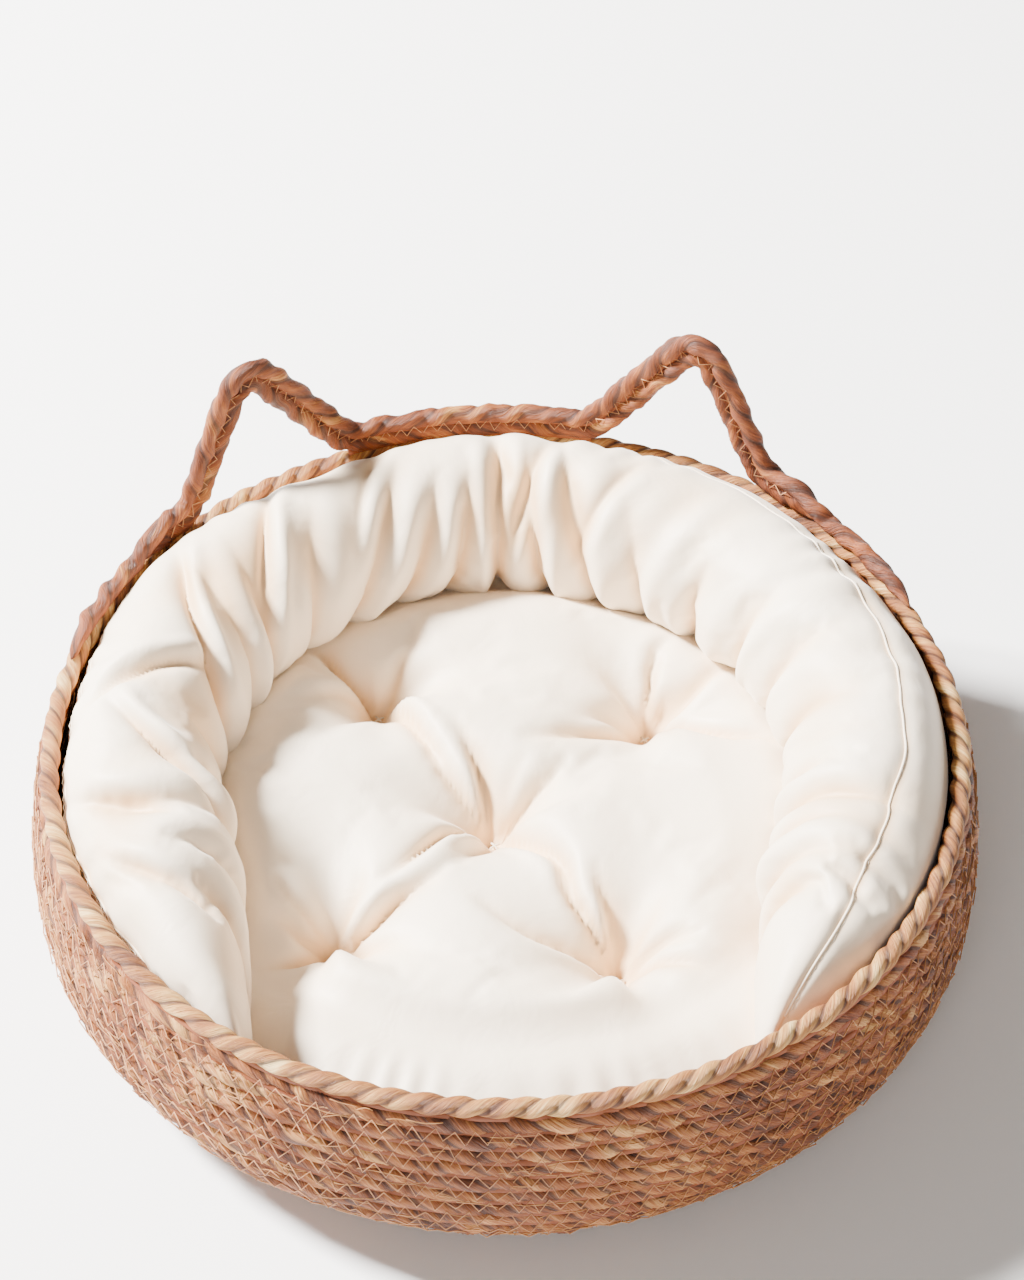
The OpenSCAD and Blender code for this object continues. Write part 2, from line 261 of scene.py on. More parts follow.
WALL_TONES = [(0.0, shade(66, 30, 12)), (0.25, shade(108, 56, 24)), (0.5, shade(144, 82, 38)),
              (0.75, shade(172, 108, 54)), (1.0, shade(210, 158, 96))]
RIM_TONES = [(0.0, shade(96, 50, 20)), (0.25, shade(138, 82, 36)), (0.5, shade(170, 112, 54)),
             (0.75, shade(196, 146, 80)), (1.0, shade(226, 194, 134))]
EAR_TONES = [(0.0, shade(60, 24, 8)), (0.3, shade(100, 46, 14)), (0.55, shade(126, 62, 20)),
             (0.8, shade(152, 86, 34)), (1.0, shade(192, 134, 70))]
wall_straw = straw_material("wall_straw", WALL_TONES, 1.1)
rim_straw = straw_material("rim_straw", RIM_TONES, 0.7)
ear_straw = straw_material("ear_straw", EAR_TONES, 0.6)
pale_fibre = thread_material("pale_fibre", shade(176, 120, 66))
sewing_thread = thread_material("sewing_thread", shade(198, 140, 94))
cream_thread = thread_material("cream_thread", shade(236, 224, 204))
# The second colour is the warm tone of broad patches and the painted shade in the creases
cream_cloth = cloth_material("cream_cloth", shade(253, 243, 226), shade(236, 202, 160))


# ---- Meshes ----
def linked(name, data):
    """A new object in the scene."""
    thing = bpy.data.objects.new(name, data)
    bpy.context.scene.collection.objects.link(thing)
    return thing


def shown(name, mesh, material):
    """A smooth object made from a mesh."""
    mesh.shade_smooth()
    mesh.materials.append(material)
    return linked(name, mesh)


def mark(mesh, attributes):
    """Stores one value for each point, under each name."""
    for key, values in attributes.items():
        made = mesh.attributes.new(key, "FLOAT", "POINT")
        made.data.foreach_set("value", np.asarray(values, dtype=np.float32))


def cord_piece(name, part, material):
    """A piece from (points, faces, uv, attributes), with one (u, v) for each face corner."""
    points, faces, uv, attributes = part
    mesh = bpy.data.meshes.new(name)
    mesh.from_pydata(points.tolist(), [], faces.tolist())
    layer = mesh.uv_layers.new(name="cord")
    layer.data.foreach_set("uv", uv.astype(np.float32).ravel())
    mark(mesh, attributes)
    return shown(name, mesh, material)


def plain_piece(name, parts, material):
    """One piece from several (points, faces)."""
    points, faces, start = [], [], 0
    for part_points, part_faces in parts:
        points.append(part_points)
        faces += [[v + start for v in face] for face in part_faces]
        start += len(part_points)
    mesh = bpy.data.meshes.new(name)
    mesh.from_pydata(np.vstack(points).tolist(), [], faces)
    return shown(name, mesh, material)


def joined(parts):
    """Several cords, each (points, faces, uv, attributes), made one."""
    points, faces, uvs = [], [], []
    attributes = {key: [] for key in parts[0][3]}
    start = 0
    for part_points, part_faces, part_uv, part_attributes in parts:
        points.append(part_points)
        faces.append(np.asarray(part_faces) + start)
        uvs.append(part_uv)
        for key in attributes:
            attributes[key].append(part_attributes[key])
        start += len(part_points)
    return (np.vstack(points), np.vstack(faces), np.vstack(uvs),
            {key: np.concatenate(values) for key, values in attributes.items()})


def ripple(places, rng, lowest, highest, size=1.0):
    """Smooth random waves over places from 0 to 1, the same at both ends."""
    waves = np.arange(lowest, highest + 1)
    phases = rng.uniform(0, TAU, len(waves))
    sizes = rng.normal(0, 1, len(waves)) / math.sqrt(len(waves))
    return size * (sizes * np.sin(TAU * np.outer(places, waves) + phases)).sum(axis=1)


def unit(vectors):
    """Vectors made one long."""
    return vectors / np.linalg.norm(vectors, axis=-1, keepdims=True)


def twisted_cord(middle, out, up, half_out, half_up, turns, rng, closed=True,
                 lay=1, depth=0.36, sides=14, strands=2, unruly=1.0, first_u=0.0):
    """A cord of twisted strands round a line of middles, as (points, faces, uv, attributes).

    depth is how far a strand's middle lies from the cord's middle, which sets the furrows."""
    count = len(middle)
    places = np.arange(count) / (count if closed else count - 1)
    steps = np.linalg.norm(np.diff(middle, axis=0, append=middle[:1]), axis=1)
    length = steps.sum() if closed else steps[:-1].sum()
    turn = lay * (TAU * turns * places + unruly * ripple(places, rng, 3, 40, 0.55))
    angle = TAU * (np.arange(sides) + 0.5) / sides
    in_strand = (angle % (TAU / strands)) - TAU / strands / 2
    big = 1 - depth
    reach = depth * np.cos(in_strand) + np.sqrt(big ** 2 - (depth * np.sin(in_strand)) ** 2)
    swell = 1 + unruly * ripple(places, rng, 20, 90, 0.07)
    grow = reach[None, :] * swell[:, None]
    theta = angle[None, :] + turn[:, None]
    sway_out = unruly * ripple(places, rng, 4, 40, 0.0005)
    sway_up = unruly * ripple(places, rng, 4, 40, 0.0004)
    along_out = half_out[:, None] * grow * np.cos(theta) + sway_out[:, None]
    along_up = half_up[:, None] * grow * np.sin(theta) + sway_up[:, None]
    points = (middle[:, None, :] + along_out[..., None] * out[:, None, :]
              + along_up[..., None] * up[:, None, :])
    rings = np.arange(count if closed else count - 1)
    i, j = np.meshgrid(rings, np.arange(sides), indexing="ij")
    i2, j2 = (i + 1) % count, (j + 1) % sides
    faces = np.stack([i * sides + j, i * sides + j2, i2 * sides + j2, i2 * sides + j], -1)
    faces = faces.reshape(-1, 4)
    per = sides // strands
    u_low = first_u + (j // per) * 0.731 + i / len(rings) * length
    u_high = u_low + length / len(rings)
    v_low = (j % per) / per
    v_high = v_low + 1 / per
    uv = np.stack([u_low, v_low, u_low, v_high, u_high, v_high, u_high, v_low], -1).reshape(-1, 2)
    # Masks for painted shade: one is deepest in the furrows between the strands, the other on the sides
    # that face the neighbouring rows
    furrow = np.tile(np.abs(in_strand) / np.abs(in_strand).max(), (count, 1))
    join = np.abs(np.sin(theta))
    return points.reshape(-1, 3), faces, uv, {"furrow": furrow.ravel(), "join": join.ravel()}


def capped(part, rings, sides):
    """A cord's mesh with a round cap on each of its two open ends."""
    points, faces, uv, attributes = part
    first = points[:sides].mean(axis=0)
    last = points[-sides:].mean(axis=0)
    n = len(points)
    points = np.vstack([points, first, last])
    j = np.arange(0, sides, 2)
    low = np.stack([np.full(len(j), n), (j + 2) % sides, j + 1, j], -1)
    end = (rings - 1) * sides
    high = np.stack([np.full(len(j), n + 1), end + j, end + j + 1, end + (j + 2) % sides], -1)
    faces = np.vstack([faces, low, high])
    uv = np.vstack([uv, np.zeros((8 * len(j), 2))])
    # The two cap middles get the full painted shade of a furrow and a join
    attributes = {key: np.append(values, [1, 1]) for key, values in attributes.items()}
    return points, faces, uv, attributes


# ---- The bowl's shape ----
def wall_line():
    """Middle of the wall's thickness as (radius, height): a quarter ellipse, then a lean inwards."""
    a = np.linspace(0, math.pi / 2, 40)
    low = np.stack([BASE_R + (BELLY_R - BASE_R) * np.sin(a),
                    CORD_R + (BELLY_H - CORD_R) * (1 - np.cos(a))], -1)
    t = np.linspace(0, 1, 40)[1:]
    high = np.stack([BELLY_R - (BELLY_R - RIM_R) * t ** 2, BELLY_H + (RIM_H - BELLY_H) * t], -1)
    return np.vstack([low, high])


wall = wall_line()
walked = np.append(0, np.cumsum(np.linalg.norm(np.diff(wall, axis=0), axis=1)))
ROW_PITCH = (walked[-1] - CORD_R) / WALL_ROWS


def wall_at(s):
    """(middle, outwards, upwards) of the wall at the distance s from the base, in the (r, z) plane."""
    def point(d):
        return np.array([np.interp(d, walked, wall[:, 0]), np.interp(d, walked, wall[:, 1])])
    up = unit(point(s + 0.0006) - point(max(s - 0.0006, 0)))
    return point(s), np.array([up[1], -up[0]]), up


def around(flat, azimuth):
    """A (r, z) vector turned to each azimuth, measured from +Y towards +X."""
    return np.stack([flat[0] * np.sin(azimuth), flat[0] * np.cos(azimuth),
                     np.full_like(azimuth, flat[1])], -1)


def ring_cord(middle, out, up, half_out, half_up, rng, rings_per_turn=12, **look):
    """One closed row of twisted cord round the bowl."""
    turns = max(1, round(TAU * middle[0] / TWIST))
    azimuth = TAU * np.arange(turns * rings_per_turn) / (turns * rings_per_turn)
    ones = np.ones_like(azimuth)
    return twisted_cord(around(middle, azimuth), around(out, azimuth), around(up, azimuth),
                        half_out * ones, half_up * ones, turns, rng, **look)


# ---- Zigzag stitches, by Geometry Nodes ----
def zigzag_tree():
    """Turns a guide line into sewing thread that runs from side to side across it.

    The guide carries the vectors across and out at each of its points."""
    group = bpy.data.node_groups.new("zigzag_stitches", "GeometryNodeTree")
    face = group.interface
    face.new_socket("Guide", in_out="INPUT", socket_type="NodeSocketGeometry")
    for name, kind in (("Holes", "Int"), ("Half width", "Float"), ("Lift", "Float"),
                       ("Thread radius", "Float"), ("Stray", "Float"), ("Seed", "Int"),
                       ("Thread", "Material")):
        face.new_socket(name, in_out="INPUT", socket_type="NodeSocket" + kind)
    face.new_socket("Stitches", in_out="OUTPUT", socket_type="NodeSocketGeometry")
    tree = Tree(group)
    given = group.nodes.new("NodeGroupInput")
    asked = {socket.name: Value(tree, socket) for socket in given.outputs if socket.name}
    curve = tree.node("GeometryNodeMeshToCurve", {}, {"Mesh": asked["Guide"]})
    curve = tree.node("GeometryNodeResampleCurve", {}, {"Curve": curve, "Count": asked["Holes"]})
    index = tree.node("GeometryNodeInputIndex")
    side = index.maths("MODULO", index, 2.0) * 2.0 - 1.0
    across, out = (
        tree.node("GeometryNodeInputNamedAttribute", {"data_type": "FLOAT_VECTOR"}, {"Name": name})
        for name in ("across", "out"))
    stray = tree.node("FunctionNodeRandomValue", {"data_type": "FLOAT_VECTOR"}, {
        0: (-1, -1, -1), 1: (1, 1, 1), "Seed": asked["Seed"]})
    moved, lifted, strayed = (
        tree.node("ShaderNodeVectorMath", {"operation": "SCALE"}, {0: vector, "Scale": size})
        for vector, size in ((across, side * asked["Half width"]), (out, asked["Lift"]),
                             (stray, asked["Stray"])))
    offset = tree.node("ShaderNodeVectorMath", {"operation": "ADD"}, {0: moved, 1: lifted})
    offset = tree.node("ShaderNodeVectorMath", {"operation": "ADD"}, {0: offset, 1: strayed})
    curve = tree.node("GeometryNodeSetPosition", {}, {"Geometry": curve, "Offset": offset})
    profile = tree.node("GeometryNodeCurvePrimitiveCircle", {}, {
        "Resolution": 5, "Radius": asked["Thread radius"]})
    mesh = tree.node("GeometryNodeCurveToMesh", {}, {
        "Curve": curve, "Profile Curve": profile, "Fill Caps": True})
    mesh = tree.node("GeometryNodeRealizeInstances", {}, {"Geometry": mesh})
    mesh = tree.node("GeometryNodeSetMaterial", {}, {"Geometry": mesh, "Material": asked["Thread"]})
    result = group.nodes.new("NodeGroupOutput")
    group.links.new(mesh.socket, result.inputs[0])
    return group


zigzag = zigzag_tree()


def run_tree(group, mesh, **inputs):
    """The plain mesh that a geometry tree makes from a mesh."""
    holder = linked("holder", mesh)
    modifier = holder.modifiers.new("tree", "NODES")
    modifier.node_group = group
    sockets = {item.name: item.identifier for item in group.interface.items_tree
               if item.in_out == "INPUT"}
    for name, value in inputs.items():
        modifier[sockets[name.replace("_", " ")]] = value
    holder.update_tag()
    evaluated = holder.evaluated_get(bpy.context.evaluated_depsgraph_get())
    made = bpy.data.meshes.new_from_object(evaluated)
    bpy.data.objects.remove(holder)
    return made


def guide_mesh(points, across, out, closed):
    """A line of points as mesh edges, with the stitches' directions on it."""
    n = len(points)
    edges = [(i, (i + 1) % n) for i in range(n if closed else n - 1)]
    mesh = bpy.data.meshes.new("guide")
    mesh.from_pydata(points.tolist(), edges, [])
    for name, vectors in (("across", across), ("out", out)):
        made = mesh.attributes.new(name, "FLOAT_VECTOR", "POINT")
        made.data.foreach_set("vector", np.asarray(vectors, dtype=np.float32).ravel())
    return mesh


def stitched(name, guides, material, body="basket", **sizes):
    """One piece of sewing thread along several guides, each (points, across, out, closed, holes)."""
    parts = []
    for number, (points, across, out, closed, holes) in enumerate(guides):
        guide = guide_mesh(points, across, out, closed)
        mesh = run_tree(zigzag, guide, Holes=holes, Seed=number, Thread=material, **sizes)
        made = np.empty(len(mesh.vertices) * 3, dtype=np.float32)
        mesh.vertices.foreach_get("co", made)
        made = made.reshape(-1, 3)
        made[:, 2] = np.maximum(made[:, 2], 0.0)
        parts.append((made, [tuple(face.vertices) for face in mesh.polygons]))
    piece = plain_piece(name, parts, material)
    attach(piece, body)
    return piece


# ---- Bowl ----
def make_wall():
    """The sixteen rows of the wall, one piece for each."""
    for row in range(1, WALL_ROWS + 1):
        rng = np.random.default_rng(row)
        middle, out, up = wall_at((row - 0.5) * ROW_PITCH)
        part = ring_cord(middle, out, up, CORD_R, ROW_PITCH * 0.60, rng,
                         lay=1, depth=0.20, first_u=row * 1.9, unruly=1.3)
        part[0][:, 2] = np.maximum(part[0][:, 2], 0.0)
        piece = cord_piece(f"wall_row_{row:02d}", part, wall_straw)
        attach(piece, "basket")
        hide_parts(f"wall_coil_{row:02d}")


def make_base():
    """The flat coil of the base, as rings."""
    rng = np.random.default_rng(40)
    parts = []
    for row in range(1, BASE_ROWS + 1):
        middle = np.array([(row - 0.5) * BASE_PITCH, CORD_R])
        parts.append(ring_cord(middle, np.array([0.0, 1.0]), np.array([1.0, 0.0]), CORD_R * 0.98,
                               BASE_PITCH * 0.53, rng, rings_per_turn=10, depth=0.24, sides=12,
                               first_u=row * 2.3, unruly=0.5))
    points, faces, uv, attributes = joined(parts)
    points[:, 2] = np.maximum(points[:, 2], 0.0)
    # These rows run the other way round than the wall's, so each face is turned to look outwards
    faces = faces[:, ::-1]
    uv = uv.reshape(-1, 4, 2)[:, ::-1].reshape(-1, 2)
    piece = cord_piece("base_rows", (points, faces, uv, attributes), wall_straw)
    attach(piece, "basket")
    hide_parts("base_coil")


def row_guide(s, side, holes):
    """The guide of the zigzag that joins the rows on both sides of the distance s."""
    middle, out, up = wall_at(s)
    azimuth = TAU * np.arange(360) / 360
    out3 = around(out, azimuth) * side
    return around(middle, azimuth), around(up, azimuth), out3, True, holes


def base_guide(radius, side, holes):
    """The guide of the zigzag that joins the base's rows at a radius."""
    azimuth = TAU * np.arange(180) / 180
    out3 = around(np.array([0.0, side]), azimuth)
    return (around(np.array([radius, CORD_R]), azimuth), around(np.array([1.0, 0.0]), azimuth), out3,
            True, holes)


STITCH = 0.0088                                # length of one V of the zigzag


def even_holes(length):
    """The number of needle holes that whole Vs of the zigzag take along a length."""
    return 2 * round(length / STITCH)


def make_wall_stitches():
    """The zigzags between the wall's rows, outside and inside."""
    outside, inside = [], []
    for row in range(WALL_ROWS):
        s = row * ROW_PITCH
        holes = even_holes(TAU * wall_at(s)[0][0])
        outside.append(row_guide(s, 1, holes))
        inside.append(row_guide(s, -1, holes))
    sizes = {"Half_width": ROW_PITCH * 0.44, "Lift": CORD_R * 0.97, "Thread_radius": 0.00033,
             "Stray": 0.0009}
    outer = stitched("wall_stitches_outside", outside, sewing_thread, **sizes)
    inner = stitched("wall_stitches_inside", inside, sewing_thread, **sizes)
    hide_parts("seam_threads")


def make_base_stitches():
    """The zigzags between the base's rows, above and below."""
    guides = [base_guide(row * BASE_PITCH, side, even_holes(TAU * row * BASE_PITCH))
              for row in range(1, BASE_ROWS) for side in (-1, 1)]
    piece = stitched("base_stitches", guides, sewing_thread, Half_width=BASE_PITCH * 0.44,
                     Lift=CORD_R * 0.9, Thread_radius=0.0004, Stray=0.0003)


def make_rim():
    """The twisted rope on top of the wall. Nothing is sewn beside it, so it gets no painted shade along
    its sides.
    """
    rng = np.random.default_rng(21)
    part = ring_cord(np.array([RIM_R, RIM_H]), np.array([1.0, 0.0]), np.array([0.0, 1.0]),
                     CORD_R * 1.06, CORD_R * 1.06, rng, rings_per_turn=20, sides=20, depth=0.25,
                     unruly=0.6, lay=-1)
    # No painted shade where rows would touch
    part[3]["join"][:] = 0
    piece = cord_piece("rim_twist", part, rim_straw)
    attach(piece, "basket")
    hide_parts("rim_rope")


# ---- Ear strip, laid out flat as (distance along the rim, height) ----
def bend(before, corner, after, radius, steps=14):
    """The round stretch that replaces a corner."""
    back = unit(np.subtract(before, corner))
    ahead = unit(np.subtract(after, corner))
    half = math.acos(float(back @ ahead)) / 2
    centre = np.add(corner, unit(back + ahead) * radius / math.sin(half))
    start = np.add(corner, back * radius / math.tan(half)) - centre
    end = np.add(corner, ahead * radius / math.tan(half)) - centre
    first = math.atan2(start[1], start[0])
    turn = math.copysign(math.pi - 2 * half, start[0] * end[1] - start[1] * end[0])
    angles = first + turn * np.linspace(0, 1, steps + 1)
    return centre + radius * np.stack([np.cos(angles), np.sin(angles)], -1)


RIM_CREST = RIM_H + CORD_R
STRIP_H = RIM_CREST + 2 * STRIP_R


def ease(t):
    """A smooth rise from 0 to 1."""
    return (1 - np.cos(math.pi * np.clip(t, 0, 1))) / 2


def strip_half():
    """Right half of the strip's middle line, from the back of the rim to the upper cord's end."""
    start, foot_in, tip, foot_out, end = (
        (0, STRIP_H), (EAR_IN, STRIP_H), (EAR_TIP, STRIP_H + EAR_RISE),
        (EAR_OUT, STRIP_H), (EAR_OUT + UPPER_TAIL, STRIP_H))
    line = np.vstack([[start], bend(start, foot_in, tip, FOOT_BEND),
                      bend(foot_in, tip, foot_out, TIP_BEND),
                      bend(tip, foot_out, end, FOOT_BEND), [end]])
    length = np.append(0, np.cumsum(np.linalg.norm(np.diff(line, axis=0), axis=1)))
    places = np.linspace(0, length[-1], 560)
    return np.stack([np.interp(places, length, line[:, 0]), np.interp(places, length, line[:, 1])], -1)


def on_rim(flat):
    """Points laid out flat, put on the rim's cylinder."""
    angle = flat[:, 0] / RIM_R
    return np.stack([RIM_R * np.sin(angle), RIM_R * np.cos(angle), flat[:, 1]], -1)


def strip_cord(side):
    """(points, half thickness) of one cord of the strip: side is 1 for the upper, -1 for the lower."""
    half = strip_half()
    ahead = unit(np.gradient(half, axis=0))
    normal = np.stack([-ahead[:, 1], ahead[:, 0]], -1)
    line = half + side * STRIP_R * normal
    lower = 1 - (1 - THIN_END) * ease((line[:, 0] - EAR_OUT - LOWER_TAIL / 2) * 2 / LOWER_TAIL)
    if side < 0:
        keep = line[:, 0] <= EAR_OUT + LOWER_TAIL
        share = lower
    else:
        keep = np.ones(len(line), dtype=bool)
        share = 1 - (1 - THIN_END) * ease((line[:, 0] - EAR_OUT - UPPER_TAIL * 0.8) * 5 / UPPER_TAIL)
        end = EAR_OUT + LOWER_TAIL
        # The upper cord sinks as the lower one thins out, and then takes its place on the rim
        drop = np.where(line[:, 0] < end, 1 - lower, 1 - THIN_END)
        line[:, 1] -= 2 * STRIP_R * (drop + THIN_END * ease((line[:, 0] - end) / (2 * STRIP_R)))
    line[:, 1] -= STRIP_R * (1 - share)
    line, share = line[keep], share[keep]
    both = np.vstack([line[:0:-1] * (-1, 1), line])
    return both, np.append(share[:0:-1], share) * STRIP_R


def strip_frame(flat):
    """(middle, outwards, upwards) along a flat line once it is on the rim."""
    middle = on_rim(flat)
    ahead = unit(np.gradient(middle, axis=0))
    out = unit(middle * (1, 1, 0))
    return middle, out, np.cross(ahead, out)


def make_ear_cords():
    """The two cords of the ear strip, twisted opposite ways, with round ends."""
    for name, node, side, lay in (("ear_twist_upper", "ear_cord_upper", 1, -1),
                                  ("ear_twist_lower", "ear_cord_lower", -1, 1)):
        rng = np.random.default_rng(60 + side)
        flat, radius = strip_cord(side)
        length = np.append(0, np.cumsum(np.linalg.norm(np.diff(flat, axis=0), axis=1)))
        turns = length[-1] / (TWIST * 1.35)
        places = np.linspace(0, length[-1], round(turns * 26))
        flat = np.stack([np.interp(places, length, flat[:, k]) for k in (0, 1)], -1)
        radius = np.interp(places, length, radius) * 1.08
        radius = radius * np.sqrt(np.clip(np.minimum(places, length[-1] - places) / 0.004, 0.05, 1))
        middle, out, up = strip_frame(flat)
        part = twisted_cord(middle, out, up, radius, radius * 1.1, turns, rng, closed=False, lay=lay,
                            depth=0.21, sides=16, unruly=0.8)
        part = capped(part, len(middle), 16)
        # Only a little painted shade along the sides where the two cords touch
        part[3]["join"][:] *= 0.35
        piece = cord_piece(name, part, ear_straw)
        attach(piece, "basket")
        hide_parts(node)


def make_ear_stitches():
    """The zigzag in the valley between the two ear cords, inside and outside."""
    half = strip_half()
    half = half[half[:, 0] <= EAR_OUT + LOWER_TAIL / 2]
    flat = np.vstack([half[:0:-1] * (-1, 1), half])
    middle, out, up = strip_frame(flat)
    length = np.linalg.norm(np.diff(flat, axis=0), axis=1).sum()
    holes = 2 * round(length / 0.0075)
    guides = [(middle, up, out * side, False, holes) for side in (-1, 1)]
    piece = stitched("ear_stitches", guides, sewing_thread, Half_width=STRIP_R * 0.7,
                     Lift=STRIP_R * 0.80, Thread_radius=0.0003, Stray=0.0006)


def make_cores():
    """Straw packed between the rows, under the rim rope and between the ear cords."""
    half = strip_half()
    half = half[half[:, 0] <= EAR_OUT + LOWER_TAIL * 0.4]
    valley = on_rim(np.vstack([half[:0:-1] * (-1, 1), half]))
    seat = on_rim(np.stack([np.linspace(-EAR_IN, EAR_IN, 60), np.full(60, RIM_CREST)], -1))
    azimuth = np.linspace(0, TAU, 241)
    below = around(np.array([RIM_R + 0.0012, RIM_H - CORD_R]), azimuth)
    tubes = [thin_tube(valley, 0.0021), thin_tube(seat, 0.0022), thin_tube(below, 0.0026)]
    tubes += [thin_tube(around(wall_at(row * ROW_PITCH)[0], azimuth), 0.0029)
              for row in range(1, WALL_ROWS)]
    piece = plain_piece("packing_straw", tubes, ear_straw)
    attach(piece, "basket")


FIBRES = 1500


def make_fibres():
    """Loose ends of straw that lie along the rows, slightly lifted."""
    rng = np.random.default_rng(90)
    parts = []
    for number in range(FIBRES):
        s = rng.uniform(0.5, WALL_ROWS) * ROW_PITCH
        side = 1 if number % 5 else -1
        middle, out, up = wall_at(s)
        length = rng.uniform(0.006, 0.018)
        start = rng.uniform(0, TAU)
        t = np.linspace(0, 1, 5)
        azimuth = start + t * length / middle[0]
        drift = rng.uniform(-0.35, 0.35) * length * t + 0.0008 * np.sin(t * 4 + number)
        lift = CORD_R * 0.97 + 0.0004 * t ** 2 * rng.uniform(0, 1.6)
        line = (around(middle, azimuth) + around(out, azimuth) * (side * lift)[:, None]
                + around(up, azimuth) * drift[:, None])
        line[:, 2] = np.maximum(line[:, 2], 0.0004)
        parts.append(thin_tube(line, rng.uniform(0.00016, 0.00034), sides=3))
    piece = plain_piece("loose_fibres", parts, pale_fibre)
    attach(piece, "basket")


def make_ear_wire():
    """The bent wire inside the lower cord keeps its CAD shape and gets a drawn-steel finish."""
    steel = Material("drawn_steel")
    scratch = steel.noise(steel.coordinates((300, 300, 900)), detail=2.0)
    steel.set(Base_Color=(0.5, 0.5, 0.5, 1), Metallic=1.0, Roughness=(scratch * 0.2 + 0.3).limited(),
              Normal=steel.bump(scratch, 0.1, 0.0002))
    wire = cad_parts["ear_wire"]
    for place in range(len(wire.data.materials)):
        wire.material_slots[place].material = steel.material


# ---- Cushions ----
LEFT_TIP = math.radians(-141)                  # ends of the bolster, as azimuths
RIGHT_TIP = math.radians(151)
BOLSTER_WAIST = BOLSTER_LOW + (BOLSTER_TOP - BOLSTER_LOW) * 0.42


def finer(grid, closed=(False, False)):
    """A grid of values with a smooth new value between each two, along both axes."""
    for axis in (0, 1):
        grid = np.moveaxis(grid, axis, 0)
        if closed[axis]:
            around_it = np.concatenate([grid[-1:], grid, grid[:2]])
        else:
            around_it = np.concatenate([2 * grid[:1] - grid[1:2], grid, 2 * grid[-1:] - grid[-2:-1]])
        middle = (9 * (around_it[1:-2] + around_it[2:-1]) - around_it[:-3] - around_it[3:]) / 16
        made = np.empty((len(grid) + len(middle), *grid.shape[1:]))
        made[0::2], made[1::2] = grid, middle
        grid = np.moveaxis(made, 0, axis)
    return grid


def finer_rows(grid, rows):
    """The grid read at another number of rows."""
    places = np.linspace(0, len(grid) - 1, rows)
    low = np.minimum(places.astype(int), len(grid) - 2)
    share = (places - low)[:, None]
    return grid[low] * (1 - share) + grid[low + 1] * share


def step(low, high, value):
    """0 below low, 1 above high and a smooth rise between them; low may be the larger."""
    t = np.clip((value - low) / (high - low), 0, 1)
    return t * t * (3 - 2 * t)


def stuffed(points, faces, held, pressure, slack, frames=16, limit=0.006):
    """How far each point moves when the closed cloth form is filled. The held points stay."""
    mesh = bpy.data.meshes.new("cloth")
    mesh.from_pydata(points.tolist(), [], [list(face) for face in faces])
    form = linked("cloth", mesh)
    group = form.vertex_groups.new(name="held")
    group.add([int(i) for i in np.nonzero(held)[0]], 1.0, "REPLACE")
    cloth = form.modifiers.new("cloth", "CLOTH")
    settings = {
        "quality": 4, "mass": 0.3, "tension_stiffness": 12, "compression_stiffness": 8,
        "shear_stiffness": 4, "bending_stiffness": 0.15, "use_pressure": True,
        "uniform_pressure_force": pressure, "shrink_min": -slack, "vertex_group_mass": "held"}
    for key, value in settings.items():
        setattr(cloth.settings, key, value)
    cloth.settings.effector_weights.gravity = 0
    cloth.collision_settings.use_collision = False
    cloth.point_cache.frame_start = 1
    cloth.point_cache.frame_end = frames
    scene = bpy.context.scene
    for frame_number in range(1, frames + 1):
        scene.frame_set(frame_number)
    filled = bpy.data.meshes.new_from_object(form.evaluated_get(bpy.context.evaluated_depsgraph_get()))
    moved = np.empty(len(points) * 3, dtype=np.float32)
    filled.vertices.foreach_get("co", moved)
    scene.frame_set(1)
    bpy.data.objects.remove(form)
    travel = moved.reshape(-1, 3) - points
    far = np.linalg.norm(travel, axis=1, keepdims=True)
    return travel * np.minimum(1, limit / np.maximum(far, 1e-9))


def grid_normals(grid, closed):
    """Normals of a grid of points, along its first axis crossed with its second."""
    slopes = []
    for axis in (0, 1):
        if closed[axis]:
            slopes.append(np.roll(grid, -1, axis) - np.roll(grid, 1, axis))
        else:
            slopes.append(np.gradient(grid, axis=axis))
    return unit(np.cross(slopes[0], slopes[1]) + 1e-12)


# Bolster: the azimuth runs along it, and the section's angle starts at the outside, with the
# crest at 90 degrees and the inner side at 180
def bolster_thin(azimuth):
    """The bolster's thickness along its length, as a share of the full one."""
    def narrowed(t):
        return (1 - (1 - np.clip(t, 0, 1)) ** 1.9) ** 0.62
    return (narrowed((azimuth - LEFT_TIP) / math.radians(50))
            * narrowed((RIGHT_TIP - azimuth) / math.radians(38)))


def bolster_surface(azimuth, section):
    """Points of the smooth stuffed tube, before its gathers and folds."""
    thin = bolster_thin(azimuth)
    half = BOLSTER_W / 2 * thin
    c, s = np.cos(section), np.sin(section)
    below = s < 0
    wide = np.where(below, np.sign(c) * np.abs(c) ** 0.75, c)
    rise = np.where(below, -(BOLSTER_WAIST - BOLSTER_LOW) * np.abs(s) ** 0.75,
                    (BOLSTER_TOP - BOLSTER_WAIST) * s)
    radius = CLOTH_OUT - half + half * wide
    height = BOLSTER_LOW + (BOLSTER_WAIST + rise - BOLSTER_LOW) * thin ** 0.5
    return np.stack([radius * np.sin(azimuth), radius * np.cos(azimuth), height], -1)


SEAM_AZIMUTH = np.radians([-141, -100, -60, 0, 40, 70, 110, 151])
SEAM_SECTION = np.radians([20, 18, 30, 42, 52, 66, 72, 60])


def bolster_seam(azimuth):
    """Section angle of the seam along the top of the bolster."""
    return (np.interp(azimuth, SEAM_AZIMUTH, SEAM_SECTION)
            + 0.035 * np.sin(azimuth * 9) + 0.02 * np.sin(azimuth * 23 + 1))


